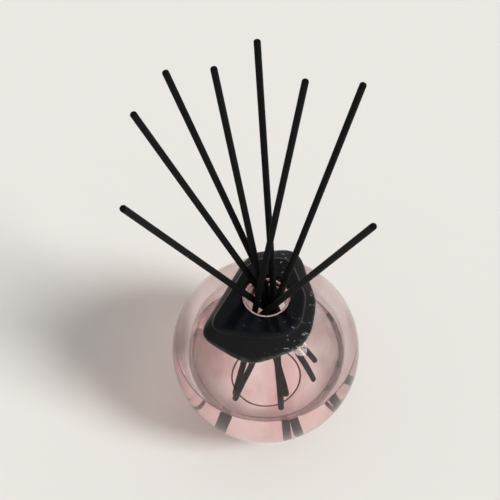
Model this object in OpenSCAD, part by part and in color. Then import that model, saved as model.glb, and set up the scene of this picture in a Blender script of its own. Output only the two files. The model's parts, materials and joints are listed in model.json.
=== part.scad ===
// Reed diffuser: a ball-shaped glass bottle with a short neck, the scented oil inside it,
// a loose slab of polished stone round the neck, and eight fibre reeds fanned out of it.
// The origin is the centre of the bottle's ground foot, where it rests. +Z is up, in millimetres.

/* [Vessel] */
// Outside diameter of the glass ball
vessel_d = 100; // [96:1:110]
// Thickness of the ball's glass wall
wall_t = 8; // [7:0.5:9]
// Thickness of the glass under the oil
floor_t = 10; // [9:0.5:14]
// Diameter of the flat foot ground on the ball
foot_d = 44; // [38:1:50]
// Outside diameter of the neck
neck_d = 24; // [23.6:0.1:24.4]
// Diameter of the bore through the neck
bore_d = 20.8; // [20.6:0.1:21]
// Height of the neck's lip above the crown of the ball
lip_rise = 4.8; // [4.5:0.1:7]

/* [Oil] */
// Height of the oil's surface above the foot
oil_level = 49; // [30:1:60]
// Gap between the oil and the glass or a reed
oil_gap = 0.1; // [0.05:0.05:0.3]

/* [Stone collar] */
// Thickness of the slab
collar_t = 8; // [6:0.5:9]
// Diameter of the hole in the slab
collar_hole_d = 24.9; // [24.8:0.1:26]
// Height over which the slab's lower edge is eased
collar_ease = 2.4; // [1:0.1:3]
// Gap between the slab and the shoulder of the ball
seat_gap = 0.3; // [0.3:0.05:0.6]

/* [Reeds] */
// Diameter of a reed
reed_d = 3.4; // [2.8:0.1:3.4]
// Length of a reed
reed_l = 250; // [200:5:300]
// Width of the eased edge at each end of a reed
reed_ease = 0.4; // [0.1:0.1:0.8]
// Clearance between a reed's lower end and the glass it rests on
rest_gap = 0.3; // [0.3:0.05:1]

/* [Hidden] */
$fn = 96;
ball_r = vessel_d / 2;
inner_r = ball_r - wall_t;
foot_r = foot_d / 2;
neck_r = neck_d / 2;
bore_r = bore_d / 2;
reed_r = reed_d / 2;
hole_r = collar_hole_d / 2;
// The foot cuts the ball, so the ball's centre is this high above it
ball_z = sqrt(pow(ball_r, 2) - pow(foot_r, 2));
lip_z = ball_z + ball_r + lip_rise;
lip_edge = (neck_r - bore_r) / 2;
// The slab's hole is caught by the ball where the ball is as wide as the hole
collar_z = ball_z + sqrt(pow(ball_r, 2) - pow(hole_r, 2)) + seat_gap;
// A tilted reed's end is kept inside a ball this much smaller than the cavity
rest_r = inner_r - 0.7 * reed_r - rest_gap;
rest_z = floor_t + 0.5 * reed_r + rest_gap;

// The slab's outline is the hull of round corners. Each row holds a corner's widest
// [x, y, radius] and then the [x, y, radius] of the same corner on the polished top face.
CORNERS = [
    [[-27, -18.5, 6], [-23, -15.5, 5]],
    [[-7, -20, 16], [-7.5, -13, 11]],
    [[3.5, -11, 20.5], [3.5, -8, 15.5]],
    [[15, -1, 10.5], [11, 0, 9]],
    [[10, 22, 9], [7, 16, 7.5]],
    [[-3, 24, 6], [-3, 18, 5]],
    [[-8.5, 20, 5], [-8, 15, 4]]
];
pad_t = 0.2;
edge_inset = 1.5;
top_round = 0.8;
corner_fn = 32;

// One row for each reed: its lean from upright and its heading round +Z from +X, in degrees,
// then the x and y at which its axis passes the height of the neck's lip
REEDS = [
    [25.5, -144.5, -8.2, -0.1],
    [21, 177.5, -4.1, 5.5],
    [19.5, 152.5, 0.3, 5.5],
    [13.5, 129, -1.7, 1.3],
    [17, 101, 3.8, 0.4],
    [11.5, 47.5, -4.8, -2.2],
    [17, 34.5, 4.7, -4.2],
    [23, -44.5, 1.1, -7.2]
];

// Unit vector along a reed, from its lower end to its tip
function reed_way(reed) = [sin(reed[0]) * cos(reed[1]), sin(reed[0]) * sin(reed[1]), cos(reed[0])];

// How far the reed reaches down its axis from the lip to the round wall of the cavity
function reach_to_wall(from, way) =
    let (along = from * way)
    along + sqrt(pow(along, 2) - from * from + pow(rest_r, 2));

// How far it reaches to the flat floor
function reach_to_floor(from, way) = (from[2] + ball_z - rest_z) / way[2];

// The shorter of the two, from the lip, which is measured here from the ball's centre
function reed_reach(reed) =
    let (from = [reed[2], reed[3], lip_z - ball_z], way = reed_way(reed))
    min(reach_to_wall(from, way), reach_to_floor(from, way));

// Everything above a height
module above(z) {
    translate([-vessel_d, -vessel_d, z]) cube([2 * vessel_d, 2 * vessel_d, 2 * vessel_d]);
}

// Stands its children on a reed's axis, with zero at the reed's lower end
module on_reed_axis(reed) {
    start = [reed[2], reed[3], lip_z] - reed_reach(reed) * reed_way(reed);
    translate(start) rotate([0, 0, reed[1]]) rotate([0, reed[0], 0]) children();
}

// The space inside the ball, down to the flat floor
module cavity(shrink) {
    intersection() {
        translate([0, 0, ball_z]) sphere(r = inner_r - shrink);
        above(floor_t + shrink);
    }
}

module glass_vessel() {
    color([0.83, 0.71, 0.69, 0.45]) difference() {
        union() {
            intersection() {
                translate([0, 0, ball_z]) sphere(r = ball_r);
                above(0);
            }
            translate([0, 0, ball_z]) cylinder(h = lip_z - lip_edge - ball_z, r = neck_r);
            translate([0, 0, lip_z - lip_edge])
                rotate_extrude() translate([neck_r - lip_edge, 0]) circle(r = lip_edge);
        }
        cavity(0);
        translate([0, 0, ball_z]) cylinder(h = lip_z - ball_z + 1, r = bore_r);
    }
}

module fragrance_oil() {
    color([0.86, 0.76, 0.74, 0.5]) difference() {
        cavity(oil_gap);
        above(oil_level);
        for (reed = REEDS) on_reed_axis(reed)
            translate([0, 0, -2 * reed_d]) cylinder(h = reed_l, r = reed_r + oil_gap);
    }
}

// One thin round pad of the slab's outline
module pad(corner, z, inset) {
    translate([corner[0], corner[1], z])
        cylinder(h = pad_t, r = corner[2] - inset, $fn = corner_fn);
}

module stone_collar() {
    color([0.05, 0.05, 0.06]) translate([0, 0, collar_z]) difference() {
        hull() {
            for (corner = CORNERS) {
                pad(corner[0], 0, edge_inset);
                pad(corner[0], collar_ease, 0);
                pad(corner[1], collar_t - top_round, -top_round);
                pad(corner[1], collar_t - pad_t, 0);
            }
        }
        translate([0, 0, -1]) cylinder(h = collar_t + 2, r = hole_r);
    }
}

module reed(number) {
    color([0.06, 0.06, 0.06]) on_reed_axis(REEDS[number - 1]) {
        cylinder(h = reed_ease, r1 = reed_r - reed_ease, r2 = reed_r);
        translate([0, 0, reed_ease]) cylinder(h = reed_l - 2 * reed_ease, r = reed_r);
        translate([0, 0, reed_l - reed_ease])
            cylinder(h = reed_ease, r1 = reed_r, r2 = reed_r - reed_ease);
    }
}

glass_vessel();
fragrance_oil();
stone_collar();
reed(1);  // reed_1
reed(2);  // reed_2
reed(3);  // reed_3
reed(4);  // reed_4
reed(5);  // reed_5
reed(6);  // reed_6
reed(7);  // reed_7
reed(8);  // reed_8
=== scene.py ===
"""Reed diffuser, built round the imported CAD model: a pink glass bottle of oil with a polished black
stone collar and eight fibre reeds. Lengths are in metres, and +Z is up from the bottle's foot."""

import json
import math

import bpy
from mathutils import Matrix, Vector, noise


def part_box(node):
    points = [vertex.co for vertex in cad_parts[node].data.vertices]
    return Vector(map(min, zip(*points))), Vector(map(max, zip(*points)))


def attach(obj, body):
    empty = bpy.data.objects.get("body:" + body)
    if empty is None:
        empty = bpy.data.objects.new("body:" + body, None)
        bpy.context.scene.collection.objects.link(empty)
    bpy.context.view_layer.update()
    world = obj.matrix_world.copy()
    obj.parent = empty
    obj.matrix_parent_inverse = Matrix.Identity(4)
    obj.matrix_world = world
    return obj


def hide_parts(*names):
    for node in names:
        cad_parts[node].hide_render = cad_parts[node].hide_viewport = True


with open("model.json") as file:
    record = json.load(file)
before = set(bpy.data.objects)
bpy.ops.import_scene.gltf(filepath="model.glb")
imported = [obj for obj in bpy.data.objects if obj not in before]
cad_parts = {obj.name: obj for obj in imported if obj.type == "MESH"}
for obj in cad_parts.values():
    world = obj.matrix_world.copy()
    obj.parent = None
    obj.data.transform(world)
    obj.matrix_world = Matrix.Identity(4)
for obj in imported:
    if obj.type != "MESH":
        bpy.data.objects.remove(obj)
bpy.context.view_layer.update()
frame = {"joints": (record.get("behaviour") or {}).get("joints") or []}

MM = 0.001

# What the CAD model fixes
vessel_low, vessel_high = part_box("glass_vessel")
BALL_R = (vessel_high.x - vessel_low.x) / 2
LIP_Z = vessel_high.z
collar_low, collar_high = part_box("stone_collar")
oil_low, oil_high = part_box("fragrance_oil")

# Glass
FOOT_R = 22 * MM
BALL_Z = math.sqrt(BALL_R**2 - FOOT_R**2)
WALL = 8 * MM
NECK_R = 12 * MM
BORE_R = 10.4 * MM
LIP_ROUND = 0.8 * MM
FOOT_ROUND = 1.2 * MM
GROUND_R = 19.4 * MM
GROUND_RIM = 0.9 * MM
PUNT_R = 18 * MM
PUNT_RISE = 1.6 * MM
FLOOR_ROUND = 2 * MM
SHOULDER_ROUND = 1.5 * MM
CAVITY_R = BALL_R - WALL
CAVITY_FLOOR = oil_low.z
GLASS_SIDES = 192
WAVE = 0.25 * MM
GLASS_IOR = 1.5
GLASS_DENSITY = 75

# Oil: its skin lies just inside the glass, so that light passes straight from one to the other
SKIN = 0.02 * MM
MENISCUS = 0.5 * MM
MENISCUS_REACH = 1.6 * MM
MENISCUS_SPAN = 8 * MM
OIL_IOR = 1.30

# Stone collar: the hull of round corners, each as its widest [x, y, radius] and the same on top
CORNERS = [
    ((-27, -18.5, 6), (-23, -15.5, 5)),
    ((-7, -20, 16), (-7.5, -13, 11)),
    ((3.5, -11, 20.5), (3.5, -8, 15.5)),
    ((15, -1, 10.5), (11, 0, 9)),
    ((10, 22, 9), (7, 16, 7.5)),
    ((-3, 24, 6), (-3, 18, 5)),
    ((-8.5, 20, 5), (-8, 15, 4)),
]
COLLAR_EASE = 2.4 * MM
COLLAR_HOLE_R = 12.45 * MM
HOLE_ROUND = 0.7 * MM
UNDER_INSET = 1.5 * MM
TOP_ROUND = 2.4 * MM
SOFTEN = 9
OUTLINE_STEPS = 1440
COLLAR_SIDES = 480
CHIP = 0.22 * MM
BULGE = 0.35 * MM

# Reeds
REED_R = 1.7 * MM
REED_END = 0.9 * MM
REED_SIDES = 40
REED_STATIONS = 120
FIBRE = 0.05 * MM

# Camera, from the ball's centre
CAMERA_FROM_BALL = Vector((-8.42, -523.31, 938.19)) * MM
CAMERA_ELEVATION = 58.0
CAMERA_LENS = 144
CAMERA_SENSOR = 36

# Floor and light
FLOOR_HALF = 6.0
FLOOR_DROP = 0.05 * MM
KEY_AT = Vector((1.62, -0.655, 1.47))
KEY_ANGLE = 0.35
KEY_STRENGTH = 2.88
# Painted light: an emissive glow on the floor under the bottle
PAINTED_GLOW = 0.75
PAINTED_GLOW_IN = 18 * MM
PAINTED_GLOW_OUT = 35 * MM
FILL_STRENGTH = 0.50
SEEN_STRENGTH = 1.0
CAUSTIC_STRENGTH = 0.75
MIRROR_STRENGTH = 0.4
ROOM_LEFT = (0.72, 0.70, 0.68)
ROOM_RIGHT = (0.98, 0.97, 0.95)


# ---- camera ----

def make_camera():
    data = bpy.data.cameras.new("view_camera")
    data.lens = CAMERA_LENS
    data.sensor_width = CAMERA_SENSOR
    camera = bpy.data.objects.new("view_camera", data)
    bpy.context.scene.collection.objects.link(camera)
    camera.location = Vector((0, 0, BALL_Z)) + CAMERA_FROM_BALL
    camera.rotation_euler = (math.radians(90 - CAMERA_ELEVATION), 0, 0)
    bpy.context.scene.camera = camera


# ---- meshes ----

def arc(centre, radius, start, end, steps):
    """Points (r, z) of an arc round centre, from the start angle to the end angle in degrees."""
    points = []
    for i in range(steps + 1):
        angle = math.radians(start + (end - start) * i / steps)
        points.append((centre[0] + radius * math.cos(angle), centre[1] + radius * math.sin(angle)))
    return points


def ramp(start, end, steps):
    """Points along the straight line from start to end, without its two ends."""
    return [tuple(a + (b - a) * i / steps for a, b in zip(start, end)) for i in range(1, steps)]


def mesh_object(name, points, faces, material):
    mesh = bpy.data.meshes.new(name)
    mesh.from_pydata(points, [], faces)
    mesh.materials.append(material)
    mesh.shade_smooth()
    made = bpy.data.objects.new(name, mesh)
    bpy.context.scene.collection.objects.link(made)
    return made


def rings_to_mesh(name, rings, material, closed):
    """Skins rings of equally many points. A one-point ring is a pole, and closed joins last to first."""
    points, starts = [], []
    for ring in rings:
        starts.append(len(points))
        points.extend(ring)
    faces = []
    pairs = [(i, i + 1) for i in range(len(rings) - 1)]
    if closed:
        pairs.append((len(rings) - 1, 0))
    for a, b in pairs:
        sides = max(len(rings[a]), len(rings[b]))
        for j in range(sides):
            k = (j + 1) % sides
            if len(rings[a]) == 1:
                faces.append((starts[a], starts[b] + k, starts[b] + j))
            elif len(rings[b]) == 1:
                faces.append((starts[a] + j, starts[a] + k, starts[b]))
            else:
                faces.append((starts[a] + j, starts[a] + k, starts[b] + k, starts[b] + j))
    return mesh_object(name, points, faces, material)


def revolve(name, profile, material, sides):
    """Turns a profile of (r, z) points round the Z axis."""
    rings = []
    for r, z in profile:
        count = 1 if r < 1e-7 else sides
        ring = []
        for j in range(count):
            angle = 2 * math.pi * j / sides
            ring.append(Vector((r * math.cos(angle), r * math.sin(angle), z)))
        rings.append(ring)
    return rings_to_mesh(name, rings, material, False)


# ---- glass and oil ----

def cavity_profile(skin):
    """The cavity's wall from its floor's centre up to its widest and on to the bore's lower edge."""
    radius = CAVITY_R + skin
    floor = CAVITY_FLOOR - skin
    # The rounded corner touches the flat floor and the round wall
    corner_z = floor + FLOOR_ROUND - BALL_Z
    corner_r = math.sqrt((radius - FLOOR_ROUND) ** 2 - corner_z**2)
    tangent = math.degrees(math.atan2(corner_z, corner_r))
    top = math.degrees(math.acos((BORE_R + SHOULDER_ROUND) / radius))
    points = [(0, floor)] + ramp((0, floor), (corner_r, floor), 10)
    points += arc((corner_r, corner_z + BALL_Z), FLOOR_ROUND, -90, tangent, 12)
    points += arc((0, BALL_Z), radius, tangent, top, 90)[1:]
    return points


def hand_blown(point):
    """The cavity's wall is a little uneven; the outside, the bore and the floor are true."""
    out = point - Vector((0, 0, BALL_Z))
    swell = noise.noise(out.normalized() * 2.3 + Vector((3.1, 0.4, 7.7)))
    fade = min(1.0, max(0.0, (out.xy.length - BORE_R * 1.3) / (10 * MM)))
    return point + out.normalized() * (WAVE * swell * fade)


def make_bottle(material, ground_rim_shade):
    crown = math.degrees(math.acos((NECK_R + SHOULDER_ROUND) / BALL_R))
    base = -math.degrees(math.acos(FOOT_R / BALL_R))
    outer = [(0, PUNT_RISE)]
    for i in range(1, 25):
        r = PUNT_R * i / 24
        outer.append((r, PUNT_RISE * (0.5 + 0.5 * math.cos(math.pi * (r / PUNT_R) ** 1.6))))
    outer += ramp((PUNT_R, 0), (FOOT_R - FOOT_ROUND, 0), 12)
    outer += [(FOOT_R - FOOT_ROUND, 0)]
    rim = arc((0, BALL_Z), BALL_R, base, crown, 110)
    edge = [p for p in rim if p[1] > FOOT_ROUND * 0.55]
    outer += [(FOOT_R - FOOT_ROUND * 0.45, FOOT_ROUND * 0.07), (FOOT_R - FOOT_ROUND * 0.05, FOOT_ROUND * 0.25)]
    outer += edge
    neck_base = edge[-1]
    outer += [(NECK_R + SHOULDER_ROUND * 0.35, neck_base[1] + SHOULDER_ROUND * 0.45)]
    outer += [(NECK_R, neck_base[1] + SHOULDER_ROUND * 1.3)]
    outer += ramp((NECK_R, neck_base[1] + SHOULDER_ROUND * 1.3), (NECK_R, LIP_Z - LIP_ROUND), 6)
    outer += arc((NECK_R - LIP_ROUND, LIP_Z - LIP_ROUND), LIP_ROUND, 0, 180, 16)
    cavity = cavity_profile(0)
    bore_foot = BALL_Z + math.sqrt(CAVITY_R**2 - (BORE_R + SHOULDER_ROUND) ** 2)
    inner = ramp((BORE_R, LIP_Z - LIP_ROUND), (BORE_R, bore_foot + SHOULDER_ROUND), 8)
    inner += [(BORE_R, bore_foot + SHOULDER_ROUND), (BORE_R + SHOULDER_ROUND * 0.3, bore_foot + SHOULDER_ROUND * 0.4)]
    outside = revolve("glass_bottle", outer + inner + cavity[::-1], material, GLASS_SIDES)
    first_inner = len(outer) + len(inner)
    start = 1 + (first_inner - 1) * GLASS_SIDES
    for vertex in outside.data.vertices[start:]:
        vertex.co = hand_blown(vertex.co.copy())
    # The foot was ground flat, and the rim round its hollow stays matt; it is coloured nearly black as painted shade
    # where the foot meets the floor
    outside.data.materials.append(ground_rim_shade)
    for face in outside.data.polygons:
        middle = face.center
        if middle.z < GROUND_RIM and abs(middle.xy.length - GROUND_R) < GROUND_RIM / 2:
            face.material_index = 1
    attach(outside, "bottle")
    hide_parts("glass_vessel")
    return outside


def make_oil(material):
    wall = [p for p in cavity_profile(SKIN) if p[1] < oil_high.z + MENISCUS]
    rim_r = math.sqrt((CAVITY_R + SKIN) ** 2 - (oil_high.z + MENISCUS - BALL_Z) ** 2)
    surface = []
    for i in range(24):
        away = MENISCUS_SPAN * (i / 23) ** 2
        surface.append((rim_r - away, oil_high.z + MENISCUS * math.exp(-away / MENISCUS_REACH)))
    surface += ramp(surface[-1], (0, oil_high.z), 8) + [(0, oil_high.z)]
    oil = revolve("oil_fill", wall + surface, material, GLASS_SIDES)
    count = 1 + (len(wall) - 1) * GLASS_SIDES
    for vertex in oil.data.vertices[:count + GLASS_SIDES]:
        vertex.co = hand_blown(vertex.co.copy())
    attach(oil, "bottle")
    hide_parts("fragrance_oil")
    return oil


# ---- stone collar ----

def hull_outline(circles):
    """Radius at each angle of the hull of circles, seen from the neck's axis."""
    points = []
    for i in range(OUTLINE_STEPS):
        way = Vector((math.cos(math.tau * i / OUTLINE_STEPS), math.sin(math.tau * i / OUTLINE_STEPS)))
        reach = [(c[0] * way.x + c[1] * way.y + c[2], c) for c in circles]
        c = max(reach)[1]
        points.append(Vector((c[0] + c[2] * way.x, c[1] + c[2] * way.y)))
    polar = sorted((math.atan2(p.y, p.x) % math.tau, p.length) for p in points)
    angles = [p[0] for p in polar]
    spread = []
    for j in range(COLLAR_SIDES):
        angle = math.tau * j / COLLAR_SIDES
        after = next((k for k, a in enumerate(angles) if a >= angle), 0)
        a, b = polar[after - 1], polar[after]
        gap = (b[0] - a[0]) % math.tau
        part = ((angle - a[0]) % math.tau) / gap if gap > 1e-9 else 0
        # The straight line between two points of the outline, cut by the ray at this angle
        p = Vector((math.cos(a[0]), math.sin(a[0]))) * a[1]
        q = Vector((math.cos(b[0]), math.sin(b[0]))) * b[1]
        ray = Vector((math.cos(angle), math.sin(angle)))
        side = (q - p).orthogonal()
        across = side.dot(ray)
        spread.append(side.dot(p) / across if abs(across) > 1e-9 else a[1] + (b[1] - a[1]) * part)
    # Hand finishing softens where the corners meet the straights
    soft = []
    for j in range(COLLAR_SIDES):
        window = [spread[(j + k) % COLLAR_SIDES] for k in range(-SOFTEN, SOFTEN + 1)]
        soft.append(sum(window) / len(window) * MM)
    return soft


def make_collar(material):
    wide = hull_outline([c[0] for c in CORNERS])
    top = hull_outline([c[1] for c in CORNERS])
    z0, z1 = collar_low.z, collar_high.z
    rows = []

    def row(radii, z, region, rough, raw_and_lit=0):
        rows.append((radii, z, region, rough, raw_and_lit))

    hole = [COLLAR_HOLE_R] * COLLAR_SIDES

    def between(a, b, part):
        return [x + (y - x) * part for x, y in zip(a, b)]

    def grown(a, by):
        return [x + by for x in a]

    # Underside, eased edge, sloping cut edge, rounded brow, polished face, hole
    row(grown(hole, HOLE_ROUND), z0, 0, 0)
    for i in range(1, 8):
        row(between(hole, grown(wide, -UNDER_INSET), i / 8), z0, 0, 0)
    for i in range(7):
        angle = math.pi / 2 * i / 6
        lower = grown(wide, -UNDER_INSET * (1 - math.sin(angle)))
        row(lower, z0 + COLLAR_EASE * (1 - math.cos(angle)), 1, i / 6, 1)
    slope_top = z1 - TOP_ROUND
    shoulder = between(top, wide, 0.06)
    for i in range(1, 15):
        part = i / 14
        bulge = math.sin(math.pi * part) * BULGE
        radii = grown(between(wide, shoulder, part), bulge)
        row(radii, z0 + COLLAR_EASE + (slope_top - z0 - COLLAR_EASE) * part, 1, 1, max(0, 1 - 5 * part))
    for i in range(1, 11):
        angle = math.pi / 2 * i / 10
        radii = grown(shoulder, -TOP_ROUND * (1 - math.cos(angle)))
        row(radii, slope_top + TOP_ROUND * math.sin(angle), 1 - i / 10, 0.6 * (1 - i / 10))
    face = grown(shoulder, -TOP_ROUND)
    for i in range(1, 14):
        row(between(face, grown(hole, HOLE_ROUND), i / 14), z1, 0, 0)
    for i in range(5):
        angle = math.pi / 2 * i / 4
        row(grown(hole, HOLE_ROUND * (1 - math.sin(angle))), z1 - HOLE_ROUND * (1 - math.cos(angle)), 0, 0)
    for i in range(1, 4):
        row(hole, z1 - HOLE_ROUND + (z0 + HOLE_ROUND - z1 + HOLE_ROUND) * i / 3, 0, 0)
    for i in range(1, 4):
        angle = math.pi / 2 * i / 4
        row(grown(hole, HOLE_ROUND * (1 - math.cos(angle))), z0 + HOLE_ROUND * (1 - math.sin(angle)), 0, 0)

    rings, marks, raw_and_lit_marks = [], [], []
    for radii, z, region, rough, raw_and_lit in rows:
        ring = []
        for j, r in enumerate(radii):
            angle = math.tau * j / COLLAR_SIDES
            way = Vector((math.cos(angle), math.sin(angle), 0))
            point = way * r + Vector((0, 0, z))
            # The cut edge keeps the saw's and the chisel's unevenness
            coarse = noise.noise(point * 120)
            fine = noise.noise(point * 600)
            point += way * (CHIP * rough * (coarse + 0.25 * fine))
            ring.append(point)
            marks.append(region)
            raw_and_lit_marks.append(raw_and_lit)
        rings.append(ring)
    collar = rings_to_mesh("collar_slab", rings, material, True)
    # The second mark is raw stone with a painted highlight along the widest line
    for name, values in (("cut_edge", marks), ("raw_and_lit_rim", raw_and_lit_marks)):
        layer = collar.data.attributes.new(name, "FLOAT", "POINT")
        layer.data.foreach_set("value", values)
    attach(collar, "collar")
    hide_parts("stone_collar")
    return collar


# ---- reeds ----

def reed_axis(number):
    """(middle, unit way, length) of a reed, from its box and the joint that it is drawn out along."""
    low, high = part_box(f"reed_{number}")
    joint = next(j for j in frame["joints"] if j["name"] == f"reed_{number}_draw")
    way = Vector(joint["axis"]).normalized()
    across = math.sqrt(1 - way.z**2)
    length = ((high.z - low.z) - 2 * REED_R * across) / way.z
    return (low + high) / 2, way, length


def make_reed(number, material):
    middle, way, length = reed_axis(number)
    turn = way.to_track_quat("Z", "Y").to_matrix().to_4x4()
    place = Matrix.Translation(middle) @ turn
    stations = [(REED_R * 0.62, 0.0), (REED_R * 0.86, REED_END * 0.22), (REED_R * 0.97, REED_END * 0.6)]
    straight = length - 2 * REED_END
    stations += [(REED_R, REED_END + straight * i / REED_STATIONS) for i in range(REED_STATIONS + 1)]
    stations += [(r, length - z) for r, z in stations[2::-1]]
    rings = [[place @ Vector((0, 0, -length / 2))]]
    for r, z in stations:
        ring = []
        for j in range(REED_SIDES):
            angle = math.tau * j / REED_SIDES
            # Fibres run along the reed as shallow grooves that wander a little
            seed = Vector((math.cos(angle) * 5, math.sin(angle) * 5, z * 30 + number * 9.0))
            groove = abs(noise.noise(seed)) * 2 - 0.6
            swell = noise.noise(Vector((number * 4.0, 0, z * 60))) * 0.5
            radius = r - FIBRE * max(0.0, groove + swell)
            point = Vector((radius * math.cos(angle), radius * math.sin(angle), z - length / 2))
            ring.append(place @ point)
        rings.append(ring)
    rings.append([place @ Vector((0, 0, length / 2))])
    reed = rings_to_mesh(f"fibre_reed_{number}", rings, material, False)
    layer = reed.data.attributes.new("along", "FLOAT_VECTOR", "POINT")
    back = place.inverted()
    values = []
    for vertex in reed.data.vertices:
        values.extend(back @ vertex.co)
    layer.data.foreach_set("vector", values)
    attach(reed, f"reed_{number}")
    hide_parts(f"reed_{number}")
    return reed


# ---- materials ----

def new_material(name):
    material = bpy.data.materials.new(name)
    material.use_nodes = True
    return material, material.node_tree, material.node_tree.nodes["Principled BSDF"]


def noise_node(tree, scale, detail, vector=None):
    node = tree.nodes.new("ShaderNodeTexNoise")
    node.inputs["Scale"].default_value = scale
    node.inputs["Detail"].default_value = detail
    if vector:
        tree.links.new(vector, node.inputs["Vector"])
    return node


def remap(tree, value, low, high, to_low, to_high):
    node = tree.nodes.new("ShaderNodeMapRange")
    node.inputs["From Min"].default_value = low
    node.inputs["From Max"].default_value = high
    node.inputs["To Min"].default_value = to_low
    node.inputs["To Max"].default_value = to_high
    tree.links.new(value, node.inputs["Value"])
    return node.outputs["Result"]


def bump(tree, height, strength, distance, shader):
    node = tree.nodes.new("ShaderNodeBump")
    node.inputs["Strength"].default_value = strength
    node.inputs["Distance"].default_value = distance
    tree.links.new(height, node.inputs["Height"])
    tree.links.new(node.outputs["Normal"], shader.inputs["Normal"])


def mix_colour(tree, factor, first, second):
    node = tree.nodes.new("ShaderNodeMix")
    node.data_type = "RGBA"
    node.inputs["A"].default_value = (*first, 1)
    node.inputs["B"].default_value = (*second, 1)
    tree.links.new(factor, node.inputs["Factor"])
    return node


def maths(tree, operation, first, second):
    node = tree.nodes.new("ShaderNodeMath")
    node.operation = operation
    tree.links.new(first, node.inputs[0])
    tree.links.new(second, node.inputs[1])
    return node.outputs[0]


def mark(tree, name):
    """A value that the mesh carries at its points."""
    node = tree.nodes.new("ShaderNodeAttribute")
    node.attribute_name = name
    return node


def stretched(tree, vector, stretch):
    scale = tree.nodes.new("ShaderNodeVectorMath")
    scale.operation = "MULTIPLY"
    scale.inputs[1].default_value = stretch
    tree.links.new(vector, scale.inputs[0])
    return scale.outputs["Vector"]


def object_coordinates(tree, stretch=(1, 1, 1)):
    return stretched(tree, tree.nodes.new("ShaderNodeTexCoord").outputs["Object"], stretch)


def clear_body(name, shade, ior):
    """A clear body that lets the lamps through, so that what is in it and behind it is lit."""
    material, tree, shader = new_material(name)
    shader.inputs["Roughness"].default_value = 0.0
    shader.inputs["Transmission Weight"].default_value = 1
    shader.inputs["IOR"].default_value = ior
    output = tree.nodes["Material Output"]
    path = tree.nodes.new("ShaderNodeLightPath")
    clear = tree.nodes.new("ShaderNodeBsdfTransparent")
    clear.inputs["Color"].default_value = (*shade, 1)
    mix = tree.nodes.new("ShaderNodeMixShader")
    tree.links.new(path.outputs["Is Shadow Ray"], mix.inputs["Fac"])
    tree.links.new(shader.outputs["BSDF"], mix.inputs[1])
    tree.links.new(clear.outputs["BSDF"], mix.inputs[2])
    tree.links.new(mix.outputs["Shader"], output.inputs["Surface"])
    return material, tree, shader


def glass_material():
    material, tree, shader = clear_body("pink_glass", (0.60, 0.56, 0.55), GLASS_IOR)
    depth = tree.nodes.new("ShaderNodeVolumeAbsorption")
    depth.inputs["Color"].default_value = (0.81, 0.70, 0.695, 1)
    depth.inputs["Density"].default_value = GLASS_DENSITY
    tree.links.new(depth.outputs["Volume"], tree.nodes["Material Output"].inputs["Volume"])
    # The colour was gathered unevenly, so the tint runs in soft streaks round the ball
    streaks = noise_node(tree, 34, 2, object_coordinates(tree, (1, 1, 0.4)))
    streaks.inputs["Distortion"].default_value = 0.8
    tone = mix_colour(
        tree, remap(tree, streaks.outputs["Fac"], 0.42, 0.66, 0, 1), (0.995, 0.985, 0.98), (0.86, 0.74, 0.745)
    )
    tree.links.new(tone.outputs["Result"], shader.inputs["Base Color"])
    waves = noise_node(tree, 26, 1.5, object_coordinates(tree, (1, 1, 0.5)))
    bump(tree, waves.outputs["Fac"], 0.12, 0.0012, shader)
    return material


def ground_rim_shade_material():
    material, tree, shader = new_material("ground_rim_painted_shade")
    grit = noise_node(tree, 1500, 3, object_coordinates(tree))
    # Painted shade: the matt ground rim is coloured nearly black, a dark line where the foot meets the floor
    tone = mix_colour(tree, grit.outputs["Fac"], (0.045, 0.022, 0.024), (0.10, 0.055, 0.058))
    tree.links.new(tone.outputs["Result"], shader.inputs["Base Color"])
    shader.inputs["Roughness"].default_value = 0.7
    bump(tree, grit.outputs["Fac"], 0.3, 0.0002, shader)
    return material


def oil_material():
    material, _, shader = clear_body("fragrance_oil_liquid", (0.97, 0.955, 0.95), OIL_IOR)
    shader.inputs["Base Color"].default_value = (0.995, 0.985, 0.98, 1)
    return material


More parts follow.
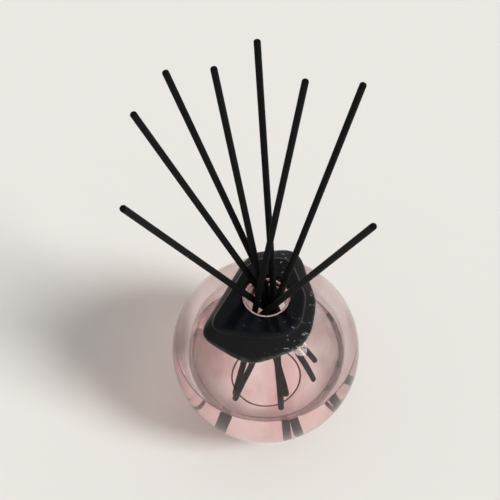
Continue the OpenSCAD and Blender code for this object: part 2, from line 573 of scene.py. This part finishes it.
def stone_material():
    material, tree, shader = new_material("black_stone_polished")
    place = object_coordinates(tree)
    cloud = noise_node(tree, 70, 5, place)
    base = mix_colour(
        tree, remap(tree, cloud.outputs["Fac"], 0.35, 0.75, 0, 1), (0.0020, 0.0024, 0.0036), (0.005, 0.0062, 0.0092)
    )
    edge_grain = remap(tree, noise_node(tree, 520, 3, place).outputs["Fac"], 0.3, 0.7, 0.6, 1)
    edge_part = maths(tree, "MULTIPLY", mark(tree, "cut_edge").outputs["Fac"], edge_grain)
    edged = mix_colour(tree, edge_part, (0, 0, 0), (0.0085, 0.0085, 0.0088))
    tree.links.new(base.outputs["Result"], edged.inputs["A"])
    # Mineral flecks and painted glints: thin pale slivers, thicker on the cut edge
    slivers = tree.nodes.new("ShaderNodeTexVoronoi")
    slivers.inputs["Scale"].default_value = 420
    slivers.inputs["Randomness"].default_value = 1.0
    warp = noise_node(tree, 140, 2, place)
    warped = tree.nodes.new("ShaderNodeMix")
    warped.data_type = "VECTOR"
    warped.inputs["Factor"].default_value = 0.012
    tree.links.new(object_coordinates(tree, (0.55, 1.5, 1.1)), warped.inputs["A"])
    tree.links.new(warp.outputs["Color"], warped.inputs["B"])
    tree.links.new(warped.outputs["Result"], slivers.inputs["Vector"])
    patches = noise_node(tree, 90, 3, place)
    near = remap(tree, slivers.outputs["Distance"], 0.10, 0.26, 1, 0)
    # Flecks and painted glints gather on the lit right side of the slab
    split = tree.nodes.new("ShaderNodeSeparateXYZ")
    tree.links.new(place, split.inputs[0])
    side = remap(tree, split.outputs["X"], -12 * MM, 16 * MM, 0.62, 0.44)
    fleck_and_glint_density = remap(tree, maths(tree, "SUBTRACT", patches.outputs["Fac"], side), 0, 0.12, 0, 1)
    flecks_and_glints = mix_colour(tree, maths(tree, "MULTIPLY", near, fleck_and_glint_density), (0, 0, 0), (0.34, 0.35, 0.37))
    tree.links.new(edged.outputs["Result"], flecks_and_glints.inputs["A"])
    # The widest line of the edge is left as raw, paler stone, and also carries a painted highlight
    rim_grain = remap(tree, noise_node(tree, 300, 3, place).outputs["Fac"], 0.35, 0.65, 0.2, 1)
    raw_and_lit_part = maths(tree, "MULTIPLY", mark(tree, "raw_and_lit_rim").outputs["Fac"], rim_grain)
    colour = mix_colour(tree, raw_and_lit_part, (0, 0, 0), (0.085, 0.084, 0.078))
    tree.links.new(flecks_and_glints.outputs["Result"], colour.inputs["A"])
    tree.links.new(colour.outputs["Result"], shader.inputs["Base Color"])
    tree.links.new(remap(tree, edge_part, 0, 1, 0.09, 0.42), shader.inputs["Roughness"])
    shader.inputs["IOR"].default_value = 1.55
    shader.inputs["Specular IOR Level"].default_value = 0.2
    pits = noise_node(tree, 900, 3, place)
    bump(tree, pits.outputs["Fac"], 0.10, 0.0004, shader)
    return material


def reed_material():
    material, tree, shader = new_material("black_fibre")
    fibres = noise_node(tree, 3200, 3, stretched(tree, mark(tree, "along").outputs["Vector"], (1, 1, 0.05)))
    tone = mix_colour(
        tree, remap(tree, fibres.outputs["Fac"], 0.3, 0.7, 0, 1), (0.0022, 0.0021, 0.0021), (0.008, 0.0078, 0.0076)
    )
    tree.links.new(tone.outputs["Result"], shader.inputs["Base Color"])
    tree.links.new(remap(tree, fibres.outputs["Fac"], 0.3, 0.7, 0.62, 0.82), shader.inputs["Roughness"])
    shader.inputs["Specular IOR Level"].default_value = 0.12
    bump(tree, fibres.outputs["Fac"], 0.35, 0.0002, shader)
    return material


# ---- surroundings ----

def make_floor():
    material, tree, shader = new_material("pale_floor")
    grain = noise_node(tree, 6, 3, object_coordinates(tree))
    tone = mix_colour(tree, grain.outputs["Fac"], (0.845, 0.826, 0.800), (0.855, 0.836, 0.810))
    tree.links.new(tone.outputs["Result"], shader.inputs["Base Color"])
    shader.inputs["Roughness"].default_value = 0.7
    # Painted light: the floor glows under the bottle, a painted pool of light standing in for the light the bottle
    # gathers there
    apart = tree.nodes.new("ShaderNodeVectorMath")
    apart.operation = "LENGTH"
    tree.links.new(object_coordinates(tree, (1, 1, 0)), apart.inputs[0])
    painted_glow = remap(tree, apart.outputs["Value"], PAINTED_GLOW_IN, PAINTED_GLOW_OUT, PAINTED_GLOW, 0)
    shader.inputs["Emission Color"].default_value = (1.0, 0.93, 0.90, 1)
    tree.links.new(painted_glow, shader.inputs["Emission Strength"])
    half = FLOOR_HALF
    corners = [(-half, -half, 0), (half, -half, 0), (half, half, 0), (-half, half, 0)]
    floor = mesh_object("floor", corners, [(0, 1, 2, 3)], material)
    floor.location.z = -FLOOR_DROP


def make_key():
    data = bpy.data.lights.new("key", "SUN")
    data.angle = KEY_ANGLE
    data.energy = KEY_STRENGTH
    data.color = (1.0, 0.985, 0.965)
    key = bpy.data.objects.new("key", data)
    bpy.context.scene.collection.objects.link(key)
    key.visible_glossy = False
    key.location = KEY_AT
    key.rotation_euler = (Vector((0, 0, BALL_Z)) - KEY_AT).to_track_quat("-Z", "Y").to_euler()


def make_world():
    world = bpy.data.worlds.new("soft_room")
    world.use_nodes = True
    bpy.context.scene.world = world
    tree = world.node_tree
    place = tree.nodes.new("ShaderNodeTexCoord")
    split = tree.nodes.new("ShaderNodeSeparateXYZ")
    tree.links.new(place.outputs["Generated"], split.inputs[0])
    side = remap(tree, split.outputs["X"], -1, 1, 0, 1)
    tone = mix_colour(tree, side, ROOM_LEFT, ROOM_RIGHT)
    background = tree.nodes["Background"]
    tree.links.new(tone.outputs["Result"], background.inputs["Color"])
    # The room looks as bright as the floor in the glass and the stone, and lights the floor less
    path = tree.nodes.new("ShaderNodeLightPath")
    through = tree.nodes.new("ShaderNodeMath")
    through.operation = "MAXIMUM"
    tree.links.new(path.outputs["Is Camera Ray"], through.inputs[0])
    tree.links.new(path.outputs["Is Transmission Ray"], through.inputs[1])
    mirrored = remap(tree, path.outputs["Is Glossy Ray"], 0, 1, FILL_STRENGTH, MIRROR_STRENGTH)
    seen = remap(tree, path.outputs["Diffuse Depth"], 0, 1, SEEN_STRENGTH, CAUSTIC_STRENGTH)
    strength = tree.nodes.new("ShaderNodeMix")
    tree.links.new(mirrored, strength.inputs["A"])
    tree.links.new(seen, strength.inputs["B"])
    tree.links.new(through.outputs[0], strength.inputs["Factor"])
    tree.links.new(strength.outputs["Result"], background.inputs["Strength"])


def settle_view():
    scene = bpy.context.scene
    scene.view_settings.view_transform = "Standard"
    scene.cycles.max_bounces = 20
    scene.cycles.glossy_bounces = 12
    scene.cycles.transmission_bounces = 18
    scene.cycles.transparent_max_bounces = 24


make_camera()
make_bottle(glass_material(), ground_rim_shade_material())
make_oil(oil_material())
make_collar(stone_material())
fibre = reed_material()
for number in range(1, 9):
    make_reed(number, fibre)
make_floor()
make_key()
make_world()
settle_view()
